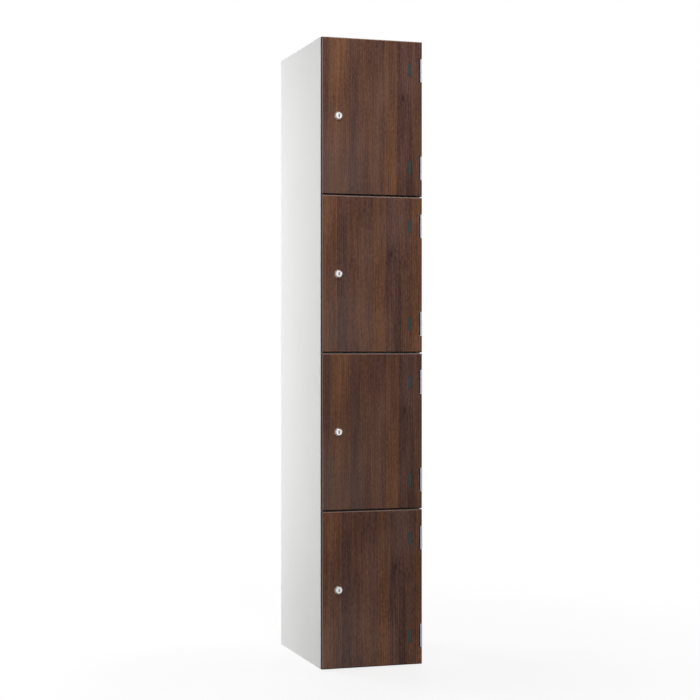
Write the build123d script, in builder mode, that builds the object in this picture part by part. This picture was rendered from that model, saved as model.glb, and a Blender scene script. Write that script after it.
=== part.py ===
"""Four-tier coin operated locker: sheet-steel carcass, four overlay laminate doors, a coin lock in each.

Frame: origin at the centre of the carcass footprint on the floor, +X to the hinges, +Y to the back, +Z up.
Each door's parts are built once around its own mid-height (z = 0) and then copied to the four tiers.
"""

from build123d import *
from math import radians, sin, cos
import os

os.makedirs("parts", exist_ok=True)

# ---- driving dimensions, millimetres ----------------------------------------------------------------------
HEIGHT = 1800.0
WIDTH = 300.0
CARCASS_DEPTH = 450.0
TIERS = 4
SHEET = 1.0
BEND = 3.0
FIT_GAP = 0.1

UPRIGHT_FACE = 22.0
UPRIGHT_LIP = 10.0
REAR_FLANGE = 15.0
DECK_FLANGE = 15.0
DECK_REAR_GAP = 0.5
END_RAIL = 25.0
SHELF_RAIL_ABOVE = 10.0
SHELF_RAIL_BELOW = 20.0
RAIL_LIP = 10.0
WALL_HOLE_R = 4.0
WALL_HOLE_SPACING_X = 200.0
WALL_HOLE_SPACING_Z = 1500.0

DOOR_GAP = 3.0
DOOR_WIDTH = 300.0
DOOR_THICK = 12.0
DOOR_BEVEL = 2.5
DOOR_STANDOFF = 4.0

HINGE_LENGTH = 67.0
HINGE_OFFSET = 141.0
HINGE_KNUCKLES = 5
HINGE_PIN_PROUD = 0.4
KNUCKLE_R = 3.75
KNUCKLE_PLAY = 0.3
KNUCKLE_ROOM = 1.0
LEAF = 1.5
LEAF_BEND = 2.5
KNUCKLE_SINK = 4.0
KNUCKLE_INSET = 2.25
NOTCH_DEPTH = 9.0
NOTCH_CLEARANCE = 1.0
NOTCH_CORNER_R = 2.0
CLAMP_FROM_EDGE = 37.5
CLAMP_LENGTH = 40.0
CLAMP_WIDTH = 10.0
CLAMP_POCKET = 6.0
CLAMP_EASE = 0.4
CLAMP_SCREW_OFFSET = 12.0
FRAME_LEAF_CORNER_R = 3.0
DOOR_LEAF_CORNER_R = 5.0
DOOR_LEAF_PAST_SCREWS = 12.0

LOCK_FROM_EDGE = 48.2
CASE_LEFT = -121.0
CASE_RIGHT = -41.0
CASE_TOP = 45.0
CASE_BOTTOM = -65.0
CASE_DEPTH = 30.0
CASE_WALL = 2.0
CASE_FLOOR = 3.0
COVER = 2.0
COVER_BOSS_R = 4.2
COVER_EASE = 1.2
GUIDE_GAP = 0.3
GUIDE_LENGTH = 20.0
GUIDE_FROM_LEVER = 3.0
CHANNEL_PAST_SLOT = 6.0
RAMP_WIDTH = 26.0
RAMP_RISE = 14.0
CUP_WIDTH = 30.0
CUP_HEIGHT = 27.0
CUP_PROUD = 11.0
CUP_EASE = 2.0
ENTRY_WIDTH = 14.0
ENTRY_PAST_SLOT = 8.0
ENTRY_PROUD = 1.5
PLUG_R = 6.0
CRANK_R = 6.0
CRANK_PIN_R = 2.0
COIN_SLOT_WIDTH = 3.6
COIN_SLOT_HEIGHT = 26.0
SCREW_R = 2.0
SCREW_LENGTH = 12.0
SCREW_HEAD_R = 3.8
SCREW_HEAD_HEIGHT = 2.2
SCREW_HEAD_RIM = 0.5
SCREW_TIP_EASE = 0.5
SCREW_TIP_ROOM = 0.5
SCREW_SOCKET_R = 1.25
SCREW_SOCKET_DEPTH = 1.3

RIVET_R = 1.6
RIVET_HEAD_R = 3.0
RIVET_TAIL_R = 2.8
RIVET_TAIL_HEIGHT = 1.5
RIVET_TAIL_EASE = 1.0
RIVET_FROM_SIDE = 12.0
RIVET_OFFSET = 22.0

BUFFER_R = 5.0
BUFFER_EASE = 1.0
BUFFER_STEM_R = 2.5
BUFFER_STEM_LENGTH = 5.0
BUFFER_BARB_R = 3.3
BUFFER_TIP_R = 1.0
BUFFER_PLAY = 0.2
BUFFER_OFFSET = 185.0

BARREL_R = 9.0
BARREL_HOLE_GAP = 0.4
ESCUTCHEON_R = 11.6
ESCUTCHEON_FACE_R = 8.8
ESCUTCHEON_PROUD = 7.0
ESCUTCHEON_RIM = 1.0
PLUG_SINK = 0.4
PLUG_EASE = 0.5
PLUG_TAIL = 7.0
KEYWAY_WIDTH = 2.8
KEYWAY_HEIGHT = 9.5
KEYWAY_DEPTH = 16.0
CAM_HUB_R = 8.0
CRANK_END_R = 4.5
RUNNING_GAP = 0.05

LEVER_HUB_R = 4.5
LEVER_PIVOT_R = 2.5
LEVER_SHOULDER_R = 4.0
LEVER_END_PLAY = 0.2
LEVER_TOP_R = 3.6
LEVER_TIP_R = 2.2
LEVER_SLOT_LENGTH = 6.2
LEVER_SLOT_WIDTH = 3.9
PIVOT_PROUD = 0.5
LEVER_PAST_PEG = 3.5
LEVER_SLOT_RISE = 0.6
LEVER_TIP = (22.0, -16.0)
SPRING_X = -60.0
SPRING_Z = 17.0
SPRING_POST_R = 1.8
SPRING_STRIP = 0.6
SPRING_SIDE_PLAY = 0.5
SPRING_ELBOW_Z = 6.0
SPRING_END_Z = 1.0
SPRING_END_FROM_PEG = 7.2

# ---- planes and positions that follow from them -----------------------------------------------------------
LEFT = -WIDTH / 2
RIGHT = WIDTH / 2
FRONT = -CARCASS_DEPTH / 2
BACK = CARCASS_DEPTH / 2
DOOR_PITCH = HEIGHT / TIERS
DOOR_HEIGHT = DOOR_PITCH - DOOR_GAP
DOOR_REAR = FRONT - DOOR_STANDOFF
DOOR_FACE = DOOR_REAR - DOOR_THICK
DOOR_LEFT = -DOOR_WIDTH / 2
DOOR_RIGHT = DOOR_WIDTH / 2
TIER_MIDS = [HEIGHT - (tier + 0.5) * DOOR_PITCH for tier in range(TIERS)]
HINGE_X = RIGHT - KNUCKLE_INSET
HINGE_Y = DOOR_FACE + KNUCKLE_SINK
HINGE_LEVELS = [HINGE_OFFSET, -HINGE_OFFSET]
KNUCKLE_PITCH = HINGE_LENGTH / HINGE_KNUCKLES
KNUCKLE_BORE_R = KNUCKLE_R - LEAF
PIN_R = KNUCKLE_BORE_R - RUNNING_GAP
RIVET_X = RIGHT - RIVET_FROM_SIDE
BUFFER_PROUD = DOOR_STANDOFF - BUFFER_PLAY
CLAMP_X = DOOR_RIGHT - CLAMP_FROM_EDGE
LOCK_X = DOOR_LEFT + LOCK_FROM_EDGE

CASE_BACK = DOOR_REAR + CASE_DEPTH
CASE_SEAT = DOOR_REAR + CASE_FLOOR
COVER_BACK = CASE_BACK + COVER
CASE_MID_X = (CASE_LEFT + CASE_RIGHT) / 2
CASE_MID_Z = (CASE_TOP + CASE_BOTTOM) / 2
CASE_WIDTH = CASE_RIGHT - CASE_LEFT
CASE_HEIGHT = CASE_TOP - CASE_BOTTOM
CASE_CORNER_R = 4.0

CAM_THICK = 3.0
BOLT_THICK = 6.0
LEVER_THICK = 3.5
LAYER_GAP = 1.0
BARREL_PAST_CASE = 6.5
PLUG_PAST_BARREL = 0.3
CAM_FROM_BARREL = 2.0
BARREL_END = CASE_SEAT + BARREL_PAST_CASE
PLUG_END = BARREL_END + PLUG_PAST_BARREL
CAM_FRONT = BARREL_END + CAM_FROM_BARREL
CAM_BACK = CAM_FRONT + CAM_THICK
BOLT_FRONT = CAM_BACK + LAYER_GAP
BOLT_BACK = BOLT_FRONT + BOLT_THICK
LEVER_FRONT = BOLT_BACK + LAYER_GAP / 2
LEVER_BACK = LEVER_FRONT + LEVER_THICK

BOLT_TRAVEL = 2 * CRANK_R
BOLT_HALF_HEIGHT = 6.0
BOLT_TAIL_HALF = 5.0
BOLT_NOSE_PROUD = 0.5
BOLT_NOSE_EASE = 1.5
YOKE_WIDTH = 18.0
YOKE_FROM_LOCK = -2.5
YOKE_BOTTOM = -8.0
YOKE_TOP = CRANK_R + 7.0
YOKE_CORNER_R = 2.0
CRANK_SLOT_SLACK = 0.25 * CRANK_R
CRANK_SLOT_END_GAP = 0.5
LEVER_X = -76.0
LEVER_Z = -14.0
PEG_X = LEVER_X + BOLT_TRAVEL / 2
PEG_R = 1.5
PEG_ARM = -LEVER_Z
PEG_TO_TAIL_END = 4.0
LEVER_HALF_SWING = 23.2
COIN_X = -56.2
COIN_Z = -16.0

CASE_SCREWS = [(-111.0, 27.0), (-51.0, 27.0), (-111.0, -47.0), (-84.0, -57.0)]
COVER_SCREWS = [(-115.0, 39.0), (-47.0, 39.0), (-115.0, -59.0)]


def depth_plane(y):
    """Plane facing the front at depth y: sketch axes are X and Z, positive extrusions go to the front."""
    return Plane.XZ.offset(-y)


def save(piece, name, height=0.0):
    """Writes one node's STEP, lifted to its tier."""
    placed = piece.moved(Location((0, 0, height)))
    placed.label = name
    export_step(placed, f"parts/{name}.step")


def group(piece, offsets):
    """Copies of one solid as a single node of separate solids."""
    return Compound([piece.moved(Location(offset)) for offset in offsets])


# ---- carcass ----------------------------------------------------------------------------------------------
def make_side_panel():
    """Left side, folded from one sheet: front face with return lip, web, rear flange."""
    outline = [
        (LEFT + UPRIGHT_FACE, FRONT + UPRIGHT_LIP),
        (LEFT + UPRIGHT_FACE, FRONT),
        (LEFT, FRONT),
        (LEFT, BACK),
        (LEFT + REAR_FLANGE, BACK),
    ]
    notch = SHEET + FIT_GAP
    with BuildPart() as side_panel:
        with BuildSketch(Plane.XY):
            with BuildLine():
                FilletPolyline(*outline, radius=BEND)
                offset(amount=SHEET, side=Side.RIGHT)
            make_face()
        extrude(amount=HEIGHT)
        # The lip stops short of the top and the base so that their sheets run over it.
        for level in (notch / 2, HEIGHT - notch / 2):
            with Locations((LEFT + UPRIGHT_FACE, FRONT + SHEET + UPRIGHT_LIP / 2 + FIT_GAP, level)):
                Box(4 * SHEET + 2 * BEND, UPRIGHT_LIP, notch, mode=Mode.SUBTRACT)
    return side_panel.part


def make_left_side():
    """Left side with the holes that hold the door buffers."""
    shell = make_side_panel()
    with BuildPart() as left_side:
        add(shell)
        for x, z in buffer_spots():
            with Locations(Plane(origin=(x, FRONT, z), z_dir=(0, -1, 0))):
                Hole(radius=BUFFER_STEM_R, depth=2 * SHEET)
    return left_side.part


def make_right_side():
    """Right side, the left one mirrored, with the holes for the hinge rivets."""
    shell = make_side_panel()
    with BuildPart() as right_side:
        add(mirror(shell, about=Plane.YZ, mode=Mode.PRIVATE))
        for z in rivet_levels():
            with Locations(Plane(origin=(RIVET_X, FRONT, z), z_dir=(0, -1, 0))):
                Hole(radius=RIVET_R + FIT_GAP / 2, depth=2 * SHEET)
    return right_side.part


def make_deck(rail_drop, wide_from):
    """Tray with its upper face at z = 0: front rail with return lip, side and rear flanges turned down."""
    half_wide = WIDTH / 2 - SHEET - FIT_GAP
    half_rail = WIDTH / 2 - UPRIGHT_FACE - FIT_GAP
    deck_back = BACK - 2 * SHEET - DECK_REAR_GAP
    rail = [
        (0, 0),
        (FRONT, 0),
        (FRONT, -rail_drop),
        (FRONT + RAIL_LIP, -rail_drop),
    ]
    with BuildPart() as deck:
        with BuildSketch(Plane.YZ):
            with BuildLine():
                FilletPolyline(*rail, radius=BEND)
                offset(amount=SHEET, side=Side.LEFT)
            make_face()
        extrude(amount=half_rail, both=True)
        deck_length = deck_back - wide_from
        deck_mid = (deck_back + wide_from) / 2
        with BuildSketch(Plane.XY.offset(-SHEET)) as plate:
            with Locations((0, deck_mid)):
                Rectangle(2 * half_wide, deck_length)
            chamfer(plate.vertices().group_by(Axis.Y)[0], length=BEND / 2)
        extrude(amount=SHEET)
        flange_front = FRONT + UPRIGHT_LIP + 2 * SHEET
        flange_length = deck_back - flange_front
        for side in (-1, 1):
            x = side * (half_wide - SHEET / 2)
            with Locations((x, deck_back - flange_length / 2, -DECK_FLANGE / 2)):
                Box(SHEET, flange_length, DECK_FLANGE)
        with Locations((0, deck_back - SHEET / 2, -DECK_FLANGE / 2)):
            Box(2 * half_wide, SHEET, DECK_FLANGE)
    return deck.part


def make_base_panel():
    """Base tray: the deck turned over, so that its flanges and rail stand up from the floor."""
    deck = make_deck(END_RAIL, FRONT + SHEET + FIT_GAP)
    with BuildPart() as base_panel:
        add(mirror(deck, about=Plane.XY, mode=Mode.PRIVATE))
    return base_panel.part


def make_back_panel():
    """Back sheet, held inside the rear flanges, with four wall-fixing holes."""
    with BuildPart() as back_panel:
        with Locations((0, BACK - 1.5 * SHEET, HEIGHT / 2)):
            Box(WIDTH - 2 * (BEND + FIT_GAP), SHEET, HEIGHT - 2 * (SHEET + FIT_GAP))
        with BuildSketch(depth_plane(BACK)):
            with Locations((0, HEIGHT / 2)):
                with GridLocations(WALL_HOLE_SPACING_X, WALL_HOLE_SPACING_Z, 2, 2):
                    Circle(WALL_HOLE_R)
        extrude(amount=3 * SHEET, mode=Mode.SUBTRACT)
    return back_panel.part


# ---- door buffers -----------------------------------------------------------------------------------------
def buffer_spots():
    """Two buffers a door, on the lock-side upright."""
    x = LEFT + UPRIGHT_FACE / 2
    return [(x, mid + side * BUFFER_OFFSET) for mid in TIER_MIDS for side in (1, -1)]


def make_buffer():
    """Rubber button with a barbed stem that pushes through the upright, turned about its own axis."""
    neck_r = BUFFER_STEM_R - FIT_GAP / 2
    with BuildPart() as buffer:
        with BuildSketch(Plane.XY):
            with BuildLine():
                Polyline(
                    (0, -BUFFER_PROUD),
                    (BUFFER_R - BUFFER_EASE, -BUFFER_PROUD),
                    (BUFFER_R, -BUFFER_PROUD + BUFFER_EASE),
                    (BUFFER_R, 0),
                    (neck_r, 0),
                    (neck_r, SHEET + FIT_GAP),
                    (BUFFER_BARB_R, SHEET + FIT_GAP),
                    (BUFFER_TIP_R, BUFFER_STEM_LENGTH),
                    (0, BUFFER_STEM_LENGTH),
                    close=True,
                )
            make_face()
        revolve(axis=Axis.Y)
    return buffer.part


# ---- hinges -----------------------------------------------------------------------------------------------
def rivet_levels():
    """Heights of the two rivets of every hinge."""
    hinge_mids = [mid + hinge for mid in TIER_MIDS for hinge in HINGE_LEVELS]
    return [hinge_mid + side * RIVET_OFFSET for hinge_mid in hinge_mids for side in (1, -1)]


def knuckle_gaps(first):
    """Mid-heights of the knuckles that the other leaf carries."""
    return [(index + 0.5) * KNUCKLE_PITCH - HINGE_LENGTH / 2 for index in range(first, HINGE_KNUCKLES, 2)]


def make_leaf(path, gaps):
    """One hinge leaf: plate folded along path, rolled knuckles, room for the other leaf's knuckles."""
    clear = KNUCKLE_R + KNUCKLE_ROOM
    with BuildPart() as leaf:
        with BuildSketch(Plane.XY.offset(-HINGE_LENGTH / 2)):
            with BuildLine():
                FilletPolyline(*path, radius=LEAF_BEND)
                offset(amount=LEAF, side=Side.LEFT)
            make_face()
            with Locations((HINGE_X, HINGE_Y)):
                Circle(KNUCKLE_R)
                Circle(KNUCKLE_BORE_R, mode=Mode.SUBTRACT)
        extrude(amount=HINGE_LENGTH)
        for gap in gaps:
            with Locations((HINGE_X, HINGE_Y, gap)):
                Box(2 * clear, 2 * clear, KNUCKLE_PITCH + 2 * KNUCKLE_PLAY, mode=Mode.SUBTRACT)
    return leaf.part


def make_frame_leaf():
    """Leaf riveted to the face of the hinge-side upright; it carries the outer and middle knuckles."""
    outer_x = HINGE_X + KNUCKLE_R
    free_x = RIGHT - UPRIGHT_FACE + LEAF
    blank = make_leaf([(outer_x, HINGE_Y), (outer_x, FRONT), (free_x, FRONT)], knuckle_gaps(1))
    with BuildPart() as frame_leaf:
        add(blank)
        fillet(frame_leaf.edges().filter_by(Axis.Y).group_by(Axis.X)[0], radius=FRAME_LEAF_CORNER_R)
        for side in (1, -1):
            with Locations(Plane(origin=(RIVET_X, FRONT - LEAF, side * RIVET_OFFSET), z_dir=(0, -1, 0))):
                CounterSinkHole(RIVET_R + FIT_GAP / 2, RIVET_HEAD_R + FIT_GAP / 2, depth=2 * LEAF)
    return frame_leaf.part


def make_door_leaf():
    """Cranked leaf on the back of the door; its two knuckles reach through the notch in the door's edge."""
    inner_x = HINGE_X - KNUCKLE_BORE_R
    rear_y = DOOR_REAR + LEAF
    free_x = CLAMP_X - DOOR_LEAF_PAST_SCREWS
    blank = make_leaf([(inner_x, HINGE_Y), (inner_x, rear_y), (free_x, rear_y)], knuckle_gaps(0))
    with BuildPart() as door_leaf:
        add(blank)
        fillet(door_leaf.edges().filter_by(Axis.Y).group_by(Axis.X)[0], radius=DOOR_LEAF_CORNER_R)
        with BuildSketch(depth_plane(rear_y + LEAF)):
            with Locations((CLAMP_X, 0)):
                with GridLocations(0, 2 * CLAMP_SCREW_OFFSET, 1, 2):
                    Circle(SCREW_R + FIT_GAP)
        extrude(amount=3 * LEAF, mode=Mode.SUBTRACT)
    return door_leaf.part


def make_hinge_pin():
    """Hinge pin with eased ends."""
    with BuildPart() as hinge_pin:
        with Locations((HINGE_X, HINGE_Y, 0)):
            Cylinder(PIN_R, HINGE_LENGTH + 2 * HINGE_PIN_PROUD)
        chamfer(hinge_pin.edges().filter_by(GeomType.CIRCLE), length=HINGE_PIN_PROUD)
    return hinge_pin.part


def make_rivet():
    """Countersunk rivet with a formed tail, turned about its own axis; y = 0 is the upright's face."""
    head_depth = RIVET_HEAD_R - RIVET_R
    tail_front = SHEET + FIT_GAP / 2
    tail_back = tail_front + RIVET_TAIL_HEIGHT
    with BuildPart() as rivet:
        with BuildSketch(Plane.XY):
            with BuildLine():
                Polyline(
                    (0, tail_back),
                    (0, -LEAF),
                    (RIVET_HEAD_R, -LEAF),
                    (RIVET_R, -LEAF + head_depth),
                    (RIVET_R, tail_front),
                    (RIVET_TAIL_R, tail_front),
                    (RIVET_TAIL_R, tail_back - RIVET_TAIL_EASE),
                    (RIVET_TAIL_R - RIVET_TAIL_EASE, tail_back),
                    close=True,
                )
            make_face()
        revolve(axis=Axis.Y)
    return rivet.part


def make_clamp_bar():
    """Dark tapped bar let into the door's face; the hinge screws pull the leaf against it."""
    clear = FIT_GAP
    with BuildPart() as clamp_bar:
        with BuildSketch(depth_plane(DOOR_FACE + CLAMP_POCKET - clear)):
            with Locations((CLAMP_X, 0)):
                SlotOverall(CLAMP_LENGTH - 2 * clear, CLAMP_WIDTH - 2 * clear, rotation=90)
        extrude(amount=CLAMP_POCKET - 3 * clear)
        front_rim = clamp_bar.faces().sort_by(Axis.Y)[0].edges()
        chamfer(front_rim, length=CLAMP_EASE)
        with BuildSketch(depth_plane(DOOR_FACE + CLAMP_POCKET)):
            with Locations((CLAMP_X, 0)):
                with GridLocations(0, 2 * CLAMP_SCREW_OFFSET, 1, 2):
                    Circle(SCREW_R + FIT_GAP / 2)
        extrude(amount=CLAMP_POCKET - LEAF + FIT_GAP, mode=Mode.SUBTRACT)
    return clamp_bar.part


# ---- door -------------------------------------------------------------------------------------------------
def make_door_panel():
    """Laminate door with a bevelled face, notched for the hinges and bored for the lock and its fixings."""
    notch_height = HINGE_LENGTH + 2 * NOTCH_CLEARANCE
    notch_reach = 2 * NOTCH_DEPTH
    with BuildPart() as door_panel:
        with BuildSketch(depth_plane(DOOR_REAR)):
            Rectangle(DOOR_WIDTH, DOOR_HEIGHT)
        extrude(amount=DOOR_THICK)
        face_rim = door_panel.faces().sort_by(Axis.Y)[0].edges()
        chamfer(face_rim, length=DOOR_BEVEL)

        with BuildSketch(depth_plane(DOOR_REAR)):
            for level in HINGE_LEVELS:
                with Locations((DOOR_RIGHT - NOTCH_DEPTH + notch_reach / 2, level)):
                    RectangleRounded(notch_reach, notch_height, NOTCH_CORNER_R)
                with Locations((CLAMP_X, level)):
                    with GridLocations(0, 2 * CLAMP_SCREW_OFFSET, 1, 2):
                        Circle(SCREW_R + FIT_GAP)
            with Locations((LOCK_X, 0)):
                Circle(BARREL_R + BARREL_HOLE_GAP)
        extrude(amount=DOOR_THICK, mode=Mode.SUBTRACT)

        with BuildSketch(depth_plane(DOOR_FACE + CLAMP_POCKET)):
            for level in HINGE_LEVELS:
                with Locations((CLAMP_X, level)):
                    SlotOverall(CLAMP_LENGTH, CLAMP_WIDTH, rotation=90)
        extrude(amount=CLAMP_POCKET, mode=Mode.SUBTRACT)

        with BuildSketch(depth_plane(DOOR_REAR)):
            with Locations(*CASE_SCREWS):
                Circle(SCREW_R + FIT_GAP / 2)
        extrude(amount=SCREW_LENGTH - CASE_FLOOR + SCREW_TIP_ROOM, mode=Mode.SUBTRACT)
    return door_panel.part


# ---- coin lock --------------------------------------------------------------------------------------------
def make_lock_barrel():
    """Lock barrel with its conical escutcheon, turned about the lock's axis."""
    face_y = DOOR_FACE - ESCUTCHEON_PROUD
    bore = PLUG_R + RUNNING_GAP
    mid_rim = ESCUTCHEON_RIM * (1 - sin(radians(45)))
    with BuildPart() as lock_barrel:
        with BuildSketch(Plane.XY.shift_origin((LOCK_X, 0, 0))):
            with BuildLine():
                rim = Line((bore, face_y), (ESCUTCHEON_FACE_R - ESCUTCHEON_RIM, face_y))
                nose = ThreePointArc(
                    rim @ 1,
                    (ESCUTCHEON_FACE_R - mid_rim, face_y + mid_rim),
                    (ESCUTCHEON_FACE_R, face_y + ESCUTCHEON_RIM),
                )
                Polyline(
                    nose @ 1,
                    (ESCUTCHEON_R, DOOR_FACE - ESCUTCHEON_RIM),
                    (ESCUTCHEON_R, DOOR_FACE),
                    (BARREL_R, DOOR_FACE),
                    (BARREL_R, BARREL_END),
                    (bore, BARREL_END),
                    rim @ 0,
                )
            make_face()
        revolve(axis=Axis((LOCK_X, 0, 0), (0, 1, 0)))
    return lock_barrel.part


def make_lock_plug():
    """Plug with the keyway upright, and a square tail for the cam."""
    face_y = DOOR_FACE - ESCUTCHEON_PROUD + PLUG_SINK
    with BuildPart() as lock_plug:
        with BuildSketch(depth_plane(PLUG_END)):
            with Locations((LOCK_X, 0)):
                Circle(PLUG_R)
        extrude(amount=PLUG_END - face_y)
        chamfer(lock_plug.faces().sort_by(Axis.Y)[0].edges(), length=PLUG_EASE)
        with BuildSketch(depth_plane(CAM_BACK)):
            with Locations((LOCK_X, 0)):
                Rectangle(PLUG_TAIL, PLUG_TAIL)
        extrude(amount=CAM_BACK - BARREL_END)
        with BuildSketch(depth_plane(face_y + KEYWAY_DEPTH)):
            with Locations((LOCK_X, 0)):
                Rectangle(KEYWAY_WIDTH, KEYWAY_HEIGHT)
        extrude(amount=KEYWAY_DEPTH, mode=Mode.SUBTRACT)
    return lock_plug.part


def make_lock_cam():
    """Cam on the plug's tail, with the crank pin that throws the bolt."""
    with BuildPart() as lock_cam:
        with BuildSketch(depth_plane(CAM_BACK)):
            with BuildLine():
                CenterArc((LOCK_X, 0), CAM_HUB_R, 0, 360)
                CenterArc((LOCK_X + CRANK_R, 0), CRANK_END_R, 0, 360)
            make_hull()
            with Locations((LOCK_X, 0)):
                Rectangle(PLUG_TAIL + FIT_GAP, PLUG_TAIL + FIT_GAP, mode=Mode.SUBTRACT)
        extrude(amount=CAM_THICK)
        with BuildSketch(depth_plane(BOLT_BACK - LAYER_GAP)):
            with Locations((LOCK_X + CRANK_R, 0)):
                Circle(CRANK_PIN_R)
        extrude(amount=BOLT_BACK - LAYER_GAP - CAM_BACK)
    return lock_cam.part


def make_lock_bolt():
    """Sliding dead bolt: nose, yoke with the crank slot, tail with the peg that tips the coin lever."""
    nose_x = CASE_LEFT - BOLT_NOSE_PROUD
    yoke_left = LOCK_X + YOKE_FROM_LOCK
    yoke_right = yoke_left + YOKE_WIDTH
    tail_right = PEG_X + PEG_TO_TAIL_END
    slot_half = CRANK_PIN_R + CRANK_SLOT_SLACK
    slot_low = -CRANK_PIN_R - CRANK_SLOT_END_GAP
    slot_high = CRANK_R + CRANK_PIN_R + CRANK_SLOT_END_GAP
    slot_x = LOCK_X + CRANK_R
    join = 1.0
    with BuildPart() as lock_bolt:
        with BuildSketch(depth_plane(BOLT_BACK)):
            with Locations(((nose_x + yoke_left) / 2 + join, 0)):
                Rectangle(yoke_left - nose_x + 2 * join, 2 * BOLT_HALF_HEIGHT)
            with Locations(((yoke_left + yoke_right) / 2, (YOKE_BOTTOM + YOKE_TOP) / 2)):
                RectangleRounded(YOKE_WIDTH, YOKE_TOP - YOKE_BOTTOM, YOKE_CORNER_R)
            with Locations(((yoke_right + tail_right) / 2 - join, 0)):
                Rectangle(tail_right - yoke_right + 2 * join, 2 * BOLT_TAIL_HALF)
            with Locations((slot_x, (slot_low + slot_high) / 2)):
                RectangleRounded(2 * slot_half, slot_high - slot_low, CRANK_PIN_R, mode=Mode.SUBTRACT)
        extrude(amount=BOLT_THICK)
        nose_edges = lock_bolt.edges().filter_by(Axis.Y).group_by(Axis.X)[0]
        chamfer(nose_edges, length=BOLT_NOSE_EASE)
        with BuildSketch(depth_plane(LEVER_BACK)):
            with Locations((PEG_X, 0)):
                Circle(PEG_R)
        extrude(amount=LEVER_BACK - BOLT_BACK)
    return lock_bolt.part


def make_lock_case():
    """Tray screwed to the door's back: bolt opening, bolt guides, coin channel, lever pivot, cover bosses."""
    inner_width = CASE_WIDTH - 2 * CASE_WALL
    inner_height = CASE_HEIGHT - 2 * CASE_WALL
    rib_back = BOLT_BACK - LAYER_GAP / 2
    bolt_mid = (BOLT_FRONT + BOLT_BACK) / 2
    guide_z = BOLT_TAIL_HALF + GUIDE_GAP + CASE_WALL / 2
    channel_x = (COIN_SLOT_WIDTH + CASE_WALL) / 2
    root = 1.0
    with BuildPart() as lock_case:
        with BuildSketch(depth_plane(CASE_BACK)):
            with Locations((CASE_MID_X, CASE_MID_Z)):
                RectangleRounded(CASE_WIDTH, CASE_HEIGHT, CASE_CORNER_R)
        extrude(amount=CASE_DEPTH)
        with BuildSketch(depth_plane(CASE_BACK)):
            with Locations((CASE_MID_X, CASE_MID_Z)):
                RectangleRounded(inner_width, inner_height, CASE_CORNER_R - CASE_WALL)
        extrude(amount=CASE_DEPTH - CASE_FLOOR, mode=Mode.SUBTRACT)

        # Bosses that take the cover screws.
        with BuildSketch(depth_plane(CASE_BACK)):
            with Locations(*COVER_SCREWS):
                Circle(COVER_BOSS_R)
        extrude(amount=CASE_DEPTH - root)
        with BuildSketch(depth_plane(CASE_BACK)):
            with Locations(*COVER_SCREWS):
                Circle(SCREW_R + FIT_GAP / 2)
        extrude(amount=SCREW_LENGTH, mode=Mode.SUBTRACT)

        # Bolt guides above and below the tail, and the two walls of the coin channel.
        with BuildSketch(depth_plane(rib_back)):
            for side in (1, -1):
                with Locations((LEVER_X + GUIDE_FROM_LEVER, side * guide_z)):
                    Rectangle(GUIDE_LENGTH, CASE_WALL)
                with Locations((COIN_X + side * channel_x, COIN_Z)):
                    Rectangle(CASE_WALL, COIN_SLOT_HEIGHT + CHANNEL_PAST_SLOT)
        extrude(amount=rib_back - CASE_SEAT + root)

        # Pivot of the coin lever, with a shoulder under the lever, and the post of its spring.
        with BuildSketch(depth_plane(LEVER_FRONT - LEVER_END_PLAY)):
            with Locations((LEVER_X, LEVER_Z)):
                Circle(LEVER_SHOULDER_R)
        extrude(amount=LEVER_FRONT - CASE_SEAT)
        with BuildSketch(depth_plane(LEVER_BACK + PIVOT_PROUD)):
            with Locations((LEVER_X, LEVER_Z)):
                Circle(LEVER_PIVOT_R)
            with Locations((SPRING_X, SPRING_Z)):
                Circle(SPRING_POST_R)
        extrude(amount=LEVER_BACK - CASE_SEAT + root)

        # Ramp that rolls a returned coin out through the cover.
        with BuildSketch(Plane.YZ.offset(COIN_X - RAMP_WIDTH / 2)):
            with BuildLine():
                Polyline(
                    (CASE_SEAT - root, CASE_BOTTOM + root),
                    (CASE_BACK, CASE_BOTTOM + root),
                    (CASE_BACK, CASE_BOTTOM + CASE_WALL),
                    (CASE_SEAT - root, CASE_BOTTOM + RAMP_RISE),
                    close=True,
                )
            make_face()
        extrude(amount=RAMP_WIDTH)

        # Openings: barrel, bolt nose, fixing screws.
        with BuildSketch(depth_plane(CASE_SEAT)):
            with Locations((LOCK_X, 0)):
                Circle(BARREL_R + FIT_GAP)
            with Locations(*CASE_SCREWS):
                Circle(SCREW_R + FIT_GAP)
        extrude(amount=CASE_FLOOR, mode=Mode.SUBTRACT)
        with Locations((CASE_LEFT, bolt_mid, 0)):
            Box(
                4 * CASE_WALL,
                BOLT_THICK + 2 * GUIDE_GAP,
                2 * (BOLT_HALF_HEIGHT + GUIDE_GAP),
                mode=Mode.SUBTRACT,
            )
    return lock_case.part


def turned(x, z, degrees):
    """A point turned about the lever's pivot, as seen from the front."""
    angle = radians(degrees)
    return (
        LEVER_X + x * cos(angle) - z * sin(angle),
        LEVER_Z + x * sin(angle) + z * cos(angle),
    )


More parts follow.
